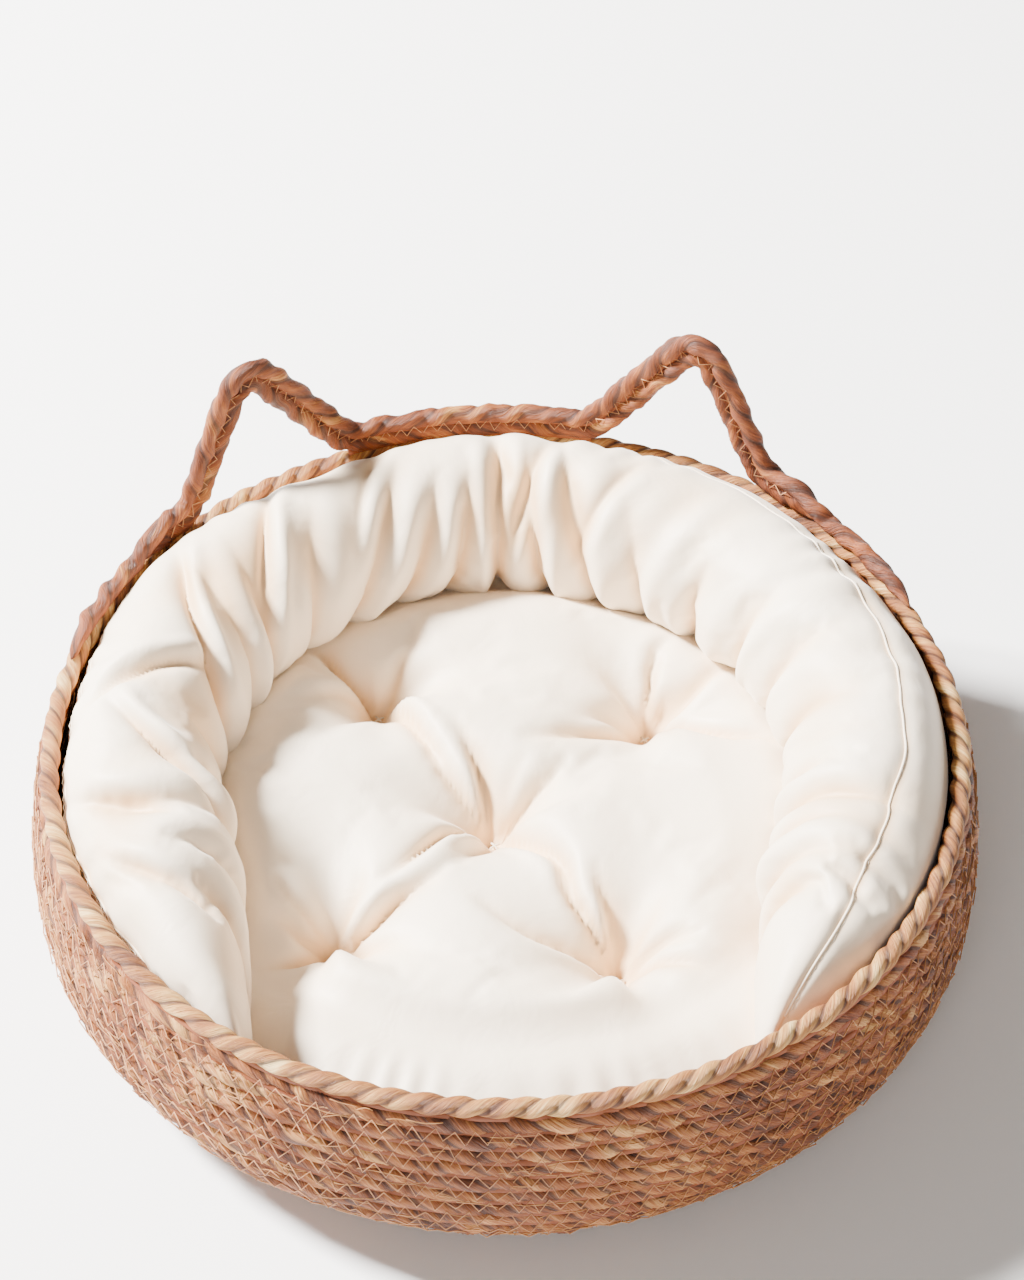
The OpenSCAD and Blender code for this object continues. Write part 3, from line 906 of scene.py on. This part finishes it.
# Slack folds, most of them across the left half: (azimuth, depth in m, section angles where the
# fold starts and ends, slant)
SLACK_FOLDS = [
    (25, 0.004, 60, 190, 8), (10, 0.006, 50, 190, 5), (5, 0.004, 40, 140, -5),
    (-20, 0.005, 45, 150, 12), (-40, 0.008, 50, 175, 16), (-60, 0.008, 40, 190, 20),
    (-75, 0.007, 35, 150, -14), (-90, 0.008, 60, 200, 22), (-105, 0.006, 25, 130, 10),
    (-120, 0.005, 40, 150, 18),
]


def bolster_pleats(azimuth, section):
    """How far the gathers, folds and wrinkles stand out from the stuffed tube."""
    rng = np.random.default_rng(7)
    place = (azimuth - LEFT_TIP) / (RIGHT_TIP - LEFT_TIP)
    degree = np.degrees(azimuth)
    turn = np.degrees(section)
    flat = place.ravel()
    lean = (6 * np.sin(flat * 17 + 1.1) + 4 * np.sin(flat * 31 + 0.3)).reshape(place.shape)
    lean = lean + 9 * step(20, -60, degree)
    warped = degree + lean * (turn - 205) / 100
    total = np.zeros_like(degree)
    spots, at = [], -134.0
    while at < 146:
        spots.append(at)
        at += rng.uniform(8.0, 14.5)
    inner = step(262, 236, turn)
    for spot in spots:
        reach = rng.uniform(30, 125)
        depth = rng.uniform(0.0035, 0.0080)
        width = rng.uniform(3.0, 5.0) + 5 * np.clip((205 - turn) / 100, 0, 1)
        apart = np.sqrt(((warped - spot) * 2.32) ** 2 + 0.8) - 0.9
        shown = step(reach, reach + 75, turn) * inner
        total -= depth * np.exp(-apart / width) * shown
        shift = rng.choice([-1, 1])
        beside = (warped - spot) * 2.32 * shift - 1.6 * width
        total += 0.30 * depth * np.exp(-(beside / width) ** 2) * shown
    lumps = np.interp(warped, spots, np.arange(len(spots)))
    total += 0.0035 * np.abs(np.sin(math.pi * lumps)) ** 0.8 * step(140, 185, turn) * inner
    for spot, depth, low, high, tilt in SLACK_FOLDS:
        apart = (degree - spot + tilt * (turn - 100) / 100) * 2.9
        shown = step(low, low + 40, turn) * step(high, high - 45, turn)
        total -= depth * np.exp(-(np.sqrt(apart ** 2 + 1) - 1) / 5) * shown
        total += 0.45 * depth * np.exp(-((apart - 9) / 7) ** 2) * shown * step(20, 70, turn)
    # Soft unevenness, more on the left
    slack = 0.5 + 0.5 * step(30, -50, degree)
    uneven = np.sin(place * 41 + 3 * np.sin(section + 2)) + np.sin(place * 23 + 2 * section)
    total += 0.0016 * slack * uneven
    # Fine wrinkles on both sides of the seam
    near = np.abs(turn - np.degrees(bolster_seam(azimuth)))
    wrinkle = np.sin(place * 260 + 2.2 * np.sin(place * 55) + turn / 40)
    total += 0.0012 * wrinkle * (0.6 + 0.4 * np.sin(place * 37)) * np.exp(-(near / 26) ** 2)
    gather = np.sin(place * 150 + 3 * np.sin(place * 29) + turn / 28)
    gather = gather * (0.5 + 0.5 * np.sin(place * 61 + turn / 60))
    total += 0.0011 * gather * step(60, 110, turn) * inner
    # The seam's own furrow
    total -= 0.0016 * np.exp(-(near / 7) ** 2)
    fade = step(-30, 20, np.where(turn > 200, 90, turn))
    return total * np.sqrt(np.clip(bolster_thin(azimuth), 0.05, 1)) * fade


def tube_faces(rows, columns):
    """Faces of a closed tube: rows of points, with a pole before the first and after the last."""
    i, j = np.meshgrid(np.arange(rows - 1), np.arange(columns), indexing="ij")
    j2 = (j + 1) % columns
    body = np.stack([i * columns + j, (i + 1) * columns + j, (i + 1) * columns + j2, i * columns + j2],
                    -1).reshape(-1, 4)
    first, last = rows * columns, rows * columns + 1
    j = np.arange(columns)
    j2 = (j + 1) % columns
    start = np.stack([np.full(columns, first), j, j2], -1)
    end = np.stack([np.full(columns, last), (rows - 1) * columns + j2, (rows - 1) * columns + j], -1)
    return body.tolist() + start.tolist() + end.tolist()


def outward(faces):
    """Faces turned round, for a tube whose sections run the other way."""
    return [face[::-1] for face in faces]


def bolster_grid(rows, columns):
    """The azimuth and the section's angle of each point of the bolster's grid."""
    ends = np.linspace(0, 1, rows)
    azimuth = LEFT_TIP + (RIGHT_TIP - LEFT_TIP) * (0.002 + 0.996 * ends)
    section = TAU * np.arange(columns) / columns
    return np.meshgrid(azimuth, section, indexing="ij")


def closed_tube(grid):
    """The grid's points with a pole at each end."""
    return np.vstack([grid.reshape(-1, 3), grid[0].mean(axis=0), grid[-1].mean(axis=0)])


SIM_GRID = (200, 56)                           # rows and columns of the bolster's cloth form
SHOWN_ROWS = 597                               # rows of its finished mesh


def make_bolster():
    """The gathered case, filled on a coarse grid and shown on a finer one."""
    azimuth, section = bolster_grid(*SIM_GRID)
    coarse = bolster_surface(azimuth, section)
    travel = np.zeros_like(coarse)
    soft = coarse - grid_normals(coarse, (False, True)) * (
        bolster_pleats(azimuth, section) * 0.6)[..., None]
    points = closed_tube(soft)
    # The underside and the two ends stay
    under = (section > math.radians(215)) & (section < math.radians(340))
    held = np.append(under.ravel(), [1, 1])
    moved = stuffed(points, outward(tube_faces(*azimuth.shape)), held, 1.6, 0.015)
    travel = moved[:-2].reshape(coarse.shape)
    travel = finer(travel, (False, True))
    azimuth, section = bolster_grid(SHOWN_ROWS, 2 * SIM_GRID[1])
    travel = np.stack([finer_rows(travel[..., k], SHOWN_ROWS) for k in range(3)], -1)
    surface = bolster_surface(azimuth, section)
    pleats = bolster_pleats(azimuth, section)
    surface = surface - grid_normals(surface, (False, True)) * pleats[..., None] + travel
    points = closed_tube(surface)
    radius = np.hypot(points[:, 0], points[:, 1])
    tight = np.minimum(1, (CLOTH_OUT + 0.001) / np.maximum(radius, 1e-9))
    points[:, :2] *= tight[:, None]
    points[:, 2] = np.maximum(points[:, 2], BOLSTER_LOW - 0.0002)
    faces = outward(tube_faces(*azimuth.shape))
    off_seam = np.degrees(section - bolster_seam(azimuth))
    # Painted shade: the cloth turns warmer and darker in the pleats' hollows and along the seam's
    # furrow
    crease = np.clip(-pleats / 0.006, 0, 1) + 0.9 * np.exp(-(off_seam / 3) ** 2)
    crease = np.append(np.clip(crease, 0, 1).ravel(), [0.5, 0.5])
    flat = np.append(np.stack([azimuth * BOLSTER_R, section * BOLSTER_W / 2], -1).reshape(-1, 2),
                     [[LEFT_TIP * BOLSTER_R, 0], [RIGHT_TIP * BOLSTER_R, 0]], axis=0)
    piece = soft_piece("bolster_case", points, faces, flat, crease, TAU * BOLSTER_W / 2)
    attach(piece, "bolster")
    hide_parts("bolster_cover", "bolster_end_left", "bolster_end_right", "bolster_filling")
    make_bolster_seam(surface, azimuth, section)


def soft_piece(name, points, faces, flat, crease, wrap=None):
    """A cushion's mesh, with its cloth's flat coordinates as a UV map and its creases marked for
    painted shade.
    """
    mesh = bpy.data.meshes.new(name)
    mesh.from_pydata(points.tolist(), [], faces)
    layer = mesh.uv_layers.new(name="cloth")
    corners = np.empty(len(mesh.loops), dtype=np.int32)
    mesh.loops.foreach_get("vertex_index", corners)
    uv = flat[corners].copy()
    if wrap:
        # A face that crosses from the section's end to its start keeps its corners together
        sizes = np.array([len(face) for face in faces])
        first = np.repeat(np.append(0, np.cumsum(sizes)[:-1]), sizes)
        behind = uv[first, 1] - uv[:, 1] > wrap / 2
        ahead = uv[:, 1] - uv[first, 1] > wrap / 2
        uv[behind, 1] += wrap
        uv[ahead, 1] -= wrap
    layer.data.foreach_set("uv", uv.astype(np.float32).ravel())
    mark(mesh, {"crease": crease})
    return shown(name, mesh, cream_cloth)


def thin_tube(line, radius, sides=6):
    """A round thread along an open line of points, as (points, faces)."""
    ahead = unit(np.gradient(line, axis=0))
    side = unit(np.cross(ahead, [0.02, 0.03, 1.0]))
    up = np.cross(side, ahead)
    angle = TAU * np.arange(sides) / sides
    ring = radius * (np.cos(angle)[None, :, None] * side[:, None]
                     + np.sin(angle)[None, :, None] * up[:, None])
    return closed_tube(line[:, None] + ring), tube_faces(len(line), sides)


def make_bolster_seam(surface, azimuth, section):
    """The raised seam, a narrow roll of cloth sunk into the case."""
    line = []
    for row in range(6, len(surface) - 6):
        want = float(bolster_seam(azimuth[row, :1])[0]) / TAU * section.shape[1]
        low = int(want)
        share = want - low
        line.append(surface[row, low] * (1 - share) + surface[row, low + 1] * share)
    line = np.array(line)
    piece = plain_piece("bolster_seam", [thin_tube(line, 0.0006)], cream_cloth)
    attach(piece, "bolster")
    out = unit(line * (1, 1, 0)) * 0.5 + np.array([0, 0, 0.8])
    ahead = unit(np.gradient(line, axis=0))
    across = unit(np.cross(out, ahead))
    length = np.linalg.norm(np.diff(line, axis=0), axis=1).sum()
    guide = (line + across * 0.0012, across, unit(out), False, 2 * round(length / 0.005))
    stitches = stitched("bolster_stitches", [guide], cream_thread, body="bolster",
                        Half_width=0.0004, Lift=0.0001, Thread_radius=0.00028, Stray=0.0001)


# Pad
def tuft_places():
    """The five tufts as (x, y): four in a turned rectangle and one in its middle."""
    spots = [(0, 0), (-1, 1), (1, 1), (-1, -1), (1, -1)]
    c, s = math.cos(TUFT_TURN), math.sin(TUFT_TURN)
    places = []
    for across, ahead in spots:
        x, y = TUFT_MIDDLE[0] + across * TUFT_X, TUFT_MIDDLE[1] + ahead * TUFT_Y
        places.append((x * c - y * s, x * s + y * c))
    return places


TUFTS = tuft_places()                          # middle, back left, back right, front left, front right

# Main folds that start at a tuft: (tuft, direction in degrees, length in mm, bend in degrees,
# depth in mm, side of the fold's lip)
FOLDS = [
    (1, 140, 60, -10, 7.5, 1), (1, -55, 75, -10, 7.0, 1),
    (0, 105, 65, -5, 6.5, 1), (0, 135, 60, -15, 5.0, -1), (0, -160, 85, 20, 5.5, 1),
    (0, -50, 90, -10, 5.5, -1), (0, 30, 50, 10, 3.5, 1),
    (2, -140, 70, -25, 6.0, -1), (2, -30, 75, 0, 6.5, 1), (2, 85, 45, -15, 4.5, 1),
    (2, 10, 65, 25, 4.5, -1),
    (3, 10, 65, 20, 6.5, 1), (3, -140, 50, -15, 6.0, 1), (3, 180, 35, -20, 3.5, -1),
    (3, 60, 45, 5, 3.5, -1),
    (4, 100, 50, -5, 6.5, 1), (4, 125, 65, -10, 6.0, -1), (4, 170, 85, -15, 4.5, 1),
    (4, -35, 60, 15, 4.5, 1),
]


def all_folds():
    """The main folds, and three small ones at each tuft, well away from its main ones."""
    rng = np.random.default_rng(31)
    folds = list(FOLDS)
    for tuft in range(len(TUFTS)):
        taken = [fold[1] for fold in FOLDS if fold[0] == tuft]
        while len(taken) < 3 + sum(fold[0] == tuft for fold in FOLDS):
            direction = rng.uniform(-180, 180)
            if min(abs((direction - other + 180) % 360 - 180) for other in taken) > 24:
                taken.append(direction)
                folds.append((tuft, direction, rng.uniform(36, 50), rng.uniform(-10, 10),
                              rng.uniform(2.0, 3.2), rng.choice([-1, 1])))
    return folds


def pad_folds(x, y):
    """Depth of the folds that run out from the tufts."""
    total = np.zeros_like(x)
    for number, (tuft, direction, length, turn, depth, lip) in enumerate(all_folds()):
        dx, dy = x - TUFTS[tuft][0], y - TUFTS[tuft][1]
        far = np.hypot(dx, dy) * 1000
        share = far / length
        aim = math.radians(direction) + math.radians(turn) * share + 0.05 * np.sin(share * 7 + number)
        off = np.arctan2(dy, dx) - aim
        off = np.arctan2(np.sin(off), np.cos(off))
        side = np.sin(np.clip(off, -1.5, 1.5)) * far
        width = 1.6 + 4.2 * np.clip(share, 0, 1.2)
        fade = step(1.05, 0.3, share) * step(0.0, 0.12, share) * (np.abs(off) < 1.5)
        total -= 1.5 * depth / 1000 * np.exp(-(np.sqrt(side ** 2 + 0.6) - 0.7) / width) * fade
        total += 0.5 * depth / 1000 * np.exp(-((side - lip * 2.0 * width) / (1.3 * width)) ** 2) * fade
    return total


def pad_crown(x, y):
    """Height of the pad's upper side before its folds."""
    r = np.hypot(x, y)
    crown = PAD_TOP - 0.0005 + 0.0140 * step(0.156, 0.122, r)
    # Between the bolster's ends the pad comes up in one full swell
    front = step(0.55, 0.85, -y / np.maximum(r, 1e-6))
    crown = crown + 0.012 * front * step(0.203, 0.165, r) * step(0.105, 0.14, r)
    dip = np.ones_like(x)
    for number, (tx, ty) in enumerate(TUFTS):
        dx, dy = x - tx, y - ty
        far = np.hypot(dx, dy)
        angle = np.arctan2(dy, dx)
        spread = 0.021 * (1 + 0.22 * np.sin(3 * angle + number) + 0.14 * np.sin(5 * angle + 2 * number))
        dip = dip * (1 - np.exp(-(far / spread) ** 1.25))
    floor = TUFT_FLOOR - 0.001
    swell = 0.0022 * (np.sin(x * 48 + 1) * np.sin(y * 43 + 2) + 0.6 * np.sin(x * 81 + y * 37))
    swell = swell * step(0.15, 0.11, r)
    return floor + (crown + swell - floor) * dip


def pad_profile(upper):
    """The pad's side from the middle of one face to the seam, as (radius, height)."""
    if upper:
        a = np.linspace(0, math.pi / 2, 20)
        edge = 0.022
        side = np.stack([CLOTH_OUT - edge * (1 - np.sin(a)),
                         PAD_SEAM_H + (PAD_TOP - PAD_SEAM_H) * np.cos(a)], -1)
        return np.vstack([[0, PAD_TOP], side])
    s = np.linspace(0.004, walked[-1] * 0.44, 24)
    bowl = np.array([wall_at(d)[0] - wall_at(d)[1] * (CORD_R + 0.0025) for d in s])
    bowl = bowl[(bowl[:, 0] < CLOTH_OUT) & (bowl[:, 1] < PAD_SEAM_H - 0.001)]
    return np.vstack([[0, PAD_LOW], bowl, [CLOTH_OUT, PAD_SEAM_H]])


def pad_sheet(size, upper):
    """A square grid laid over one face of the pad, as points, with its flat coordinates."""
    u, v = np.meshgrid(np.linspace(-1, 1, size), np.linspace(-1, 1, size), indexing="ij")
    flat_x = u * np.sqrt(1 - v ** 2 / 2)
    flat_y = v * np.sqrt(1 - u ** 2 / 2)
    share = np.hypot(flat_x, flat_y)
    line = pad_profile(upper)
    length = np.append(0, np.cumsum(np.linalg.norm(np.diff(line, axis=0), axis=1)))
    r = np.interp(share * length[-1], length, line[:, 0])
    z = np.interp(share * length[-1], length, line[:, 1])
    scale = np.where(share > 1e-9, r / np.maximum(share, 1e-9), length[-1])
    x, y = flat_x * scale, flat_y * scale
    if upper:
        z = z + (pad_crown(x, y) - PAD_TOP) * step(0.0, 0.006, z - PAD_SEAM_H)
    else:
        for tx, ty in TUFTS:
            z = z + TUFT_RISE * np.exp(-(np.hypot(x - tx, y - ty) / 0.014) ** 1.2)
    return np.stack([x, y, z], -1), np.stack([flat_x, flat_y], -1) * length[-1]


def sheet_faces(size):
    """Faces of two square grids that share their border, the second one facing down."""
    upper = np.arange(size * size).reshape(size, size)
    lower = upper + size * size
    border = np.zeros((size, size), dtype=bool)
    border[0] = border[-1] = border[:, 0] = border[:, -1] = True
    lower = np.where(border, upper, lower)
    quads = [np.stack([g[:-1, :-1], g[1:, :-1], g[1:, 1:], g[:-1, 1:]], -1).reshape(-1, 4)
             for g in (upper, lower)]
    return np.vstack([quads[0], quads[1][:, ::-1]]), border


def packed_down(points, faces):
    """Points and faces without the points that no face uses, and the old numbers kept."""
    used = np.unique(faces)
    new = np.zeros(len(points), dtype=int)
    new[used] = np.arange(len(used))
    return points[used], new[faces], used


def from_tufts(x, y):
    """Distance to the nearest tuft."""
    return np.min([np.hypot(x - tx, y - ty) for tx, ty in TUFTS], axis=0)


def make_pad():
    """The tufted case, filled on a coarse grid and shown on a finer one."""
    size = 96
    top = pad_sheet(size, True)[0]
    bottom = pad_sheet(size, False)[0]
    travel = np.zeros_like(top)
    soft = top.copy()
    soft[..., 2] += pad_folds(top[..., 0], top[..., 1]) * 0.6
    faces, border = sheet_faces(size)
    points = np.vstack([soft.reshape(-1, 3), bottom.reshape(-1, 3)])
    small, small_faces, used = packed_down(points, faces)
    # The tufts, the seam, the whole underside and the ring below the bolster stay
    number = np.arange(len(points))
    held = ((from_tufts(points[:, 0], points[:, 1]) < 0.006) | (number >= size * size)
            | border.ravel()[number % (size * size)]
            | (np.hypot(points[:, 0], points[:, 1]) > 0.150))
    moved = stuffed(small, small_faces, held[used], 2.5, 0.02)
    whole = np.zeros_like(points)
    whole[used] = moved
    travel = whole[:size * size].reshape(top.shape)
    travel = travel * step(0.148, 0.116, np.hypot(top[..., 0], top[..., 1]))[..., None]
    travel = finer(travel)
    size = 2 * size - 1
    top, flat_top = pad_sheet(size, True)
    bottom, flat_bottom = pad_sheet(size, False)
    folds = pad_folds(top[..., 0], top[..., 1]) * step(0.158, 0.130, np.hypot(top[..., 0], top[..., 1]))
    top = top + travel
    top[..., 2] += folds
    turn = np.arctan2(top[..., 0], top[..., 1])
    pucker = 1 + np.sin(turn * 74 + 2.5 * np.sin(turn * 9)) * (0.6 + 0.4 * np.sin(turn * 13))
    reach = np.hypot(top[..., 0], top[..., 1])
    above = step(0.0, 0.012, top[..., 2] - PAD_SEAM_H)
    top[..., 2] -= 0.0009 * pucker * step(0.158, 0.182, reach) * above
    faces, border = sheet_faces(size)
    points = np.vstack([top.reshape(-1, 3), bottom.reshape(-1, 3)])
    flat = np.vstack([flat_top.reshape(-1, 2), flat_bottom.reshape(-1, 2) + 1])
    near = from_tufts(top[..., 0], top[..., 1])
    # Painted shade: the cloth turns warmer and darker in the folds and in the dimples round the tufts
    crease = np.clip(-folds / 0.006, 0, 1) + np.exp(-(near / 0.012) ** 1.5)
    crease = np.concatenate([crease.ravel(), np.zeros(size * size)])
    points, faces, used = packed_down(points, faces)
    piece = soft_piece("pad_case", points, faces.tolist(), flat[used], np.clip(crease[used], 0, 1))
    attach(piece, "pad")
    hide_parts("pad_bottom_panel", "pad_top_panel", "pad_filling")
    make_pad_trim()


def make_pad_trim():
    """The seam round the pad's edge and the thread knots in its tufts."""
    azimuth = np.linspace(0, TAU, 361)
    ring = around(np.array([CLOTH_OUT, PAD_SEAM_H]), azimuth)
    seam = plain_piece("pad_seam", [thin_tube(ring, 0.0009)], cream_cloth)
    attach(seam, "pad")
    parts = []
    for tx, ty in TUFTS:
        for height in (TUFT_FLOOR - 0.0002, PAD_LOW + TUFT_RISE):
            for turn in (0.5, 2.1):
                t = np.linspace(-1, 1, 9)
                line = np.stack([tx + 0.0026 * t * math.cos(turn), ty + 0.0026 * t * math.sin(turn),
                                 height + 0.0006 * (1 - t ** 2)], -1)
                parts.append(thin_tube(line, 0.0005))
        line = np.stack([np.full(12, tx), np.full(12, ty),
                         np.linspace(PAD_LOW + TUFT_RISE + 0.0005, TUFT_FLOOR, 12)], -1)
        line[:, 0] += 0.0003 * np.sin(np.arange(12))
        parts.append(thin_tube(line, 0.0006))
    knots = plain_piece("tuft_threads", parts, cream_thread)
    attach(knots, "pad")
    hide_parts("tuft_ties")


# ---- Camera, light and floor ----
def make_camera():
    """The camera looks down at the open front, slightly from the left."""
    camera = bpy.data.cameras.new("camera")
    camera.lens = 90.3
    camera.shift_x = 0.0052
    camera.shift_y = 0.1354
    camera.clip_start = 0.01
    eye = linked("camera", camera)
    turn, rise, distance = math.radians(-5), math.radians(48.2), 1.536
    back = Vector((math.sin(turn) * math.cos(rise), -math.cos(turn) * math.cos(rise), math.sin(rise)))
    eye.location = Vector((0, 0, 0.06)) + back * distance
    eye.rotation_euler = back.to_track_quat("Z", "Y").to_euler()
    bpy.context.scene.camera = eye


def make_light(name, place, size, power, colour):
    """A square soft light that faces the bed."""
    lamp = bpy.data.lights.new(name, "AREA")
    lamp.size = size
    lamp.energy = power
    lamp.color = colour
    thing = linked(name, lamp)
    thing.location = place
    thing.rotation_euler = (Vector((0, 0, 0.05)) - Vector(place)).to_track_quat("-Z", "Y").to_euler()


def make_studio():
    """A pale floor, a soft warm sky, a key light from behind on the left and a weak front light."""
    size = 6.0
    floor = bpy.data.meshes.new("floor")
    corners = [(-size, -size, 0), (size, -size, 0), (size, size, 0), (-size, size, 0)]
    floor.from_pydata(corners, [], [(0, 1, 2, 3)])
    pale = Material("pale_floor")
    grain = pale.noise(pale.coordinates((3, 3, 3)), detail=2.0)
    tone = pale.blend(grain, (0.97, 0.975, 0.985, 1), (0.95, 0.955, 0.965, 1))
    pale.set(Base_Color=tone, Roughness=0.9)
    floor.materials.append(pale.material)
    ground = linked("floor", floor)
    ground.location.z = -0.0005
    world = bpy.data.worlds.new("studio")
    world.use_nodes = True
    sky = world.node_tree.nodes["Background"].inputs
    sky["Color"].default_value = (1, 0.9, 0.8, 1)
    sky["Strength"].default_value = 0.30
    bpy.context.scene.world = world
    make_light("key", (-2.6, 1.2, 2.7), 0.7, 1300, (1.0, 0.97, 0.93))
    make_light("front", (-0.3, -1.7, 1.3), 1.2, 16, (1.0, 0.95, 0.9))


make_camera()
make_studio()
make_base()
make_wall()
make_rim()
make_ear_cords()
make_ear_wire()
make_cores()
make_fibres()
make_wall_stitches()
make_base_stitches()
make_ear_stitches()
make_pad()
make_bolster()
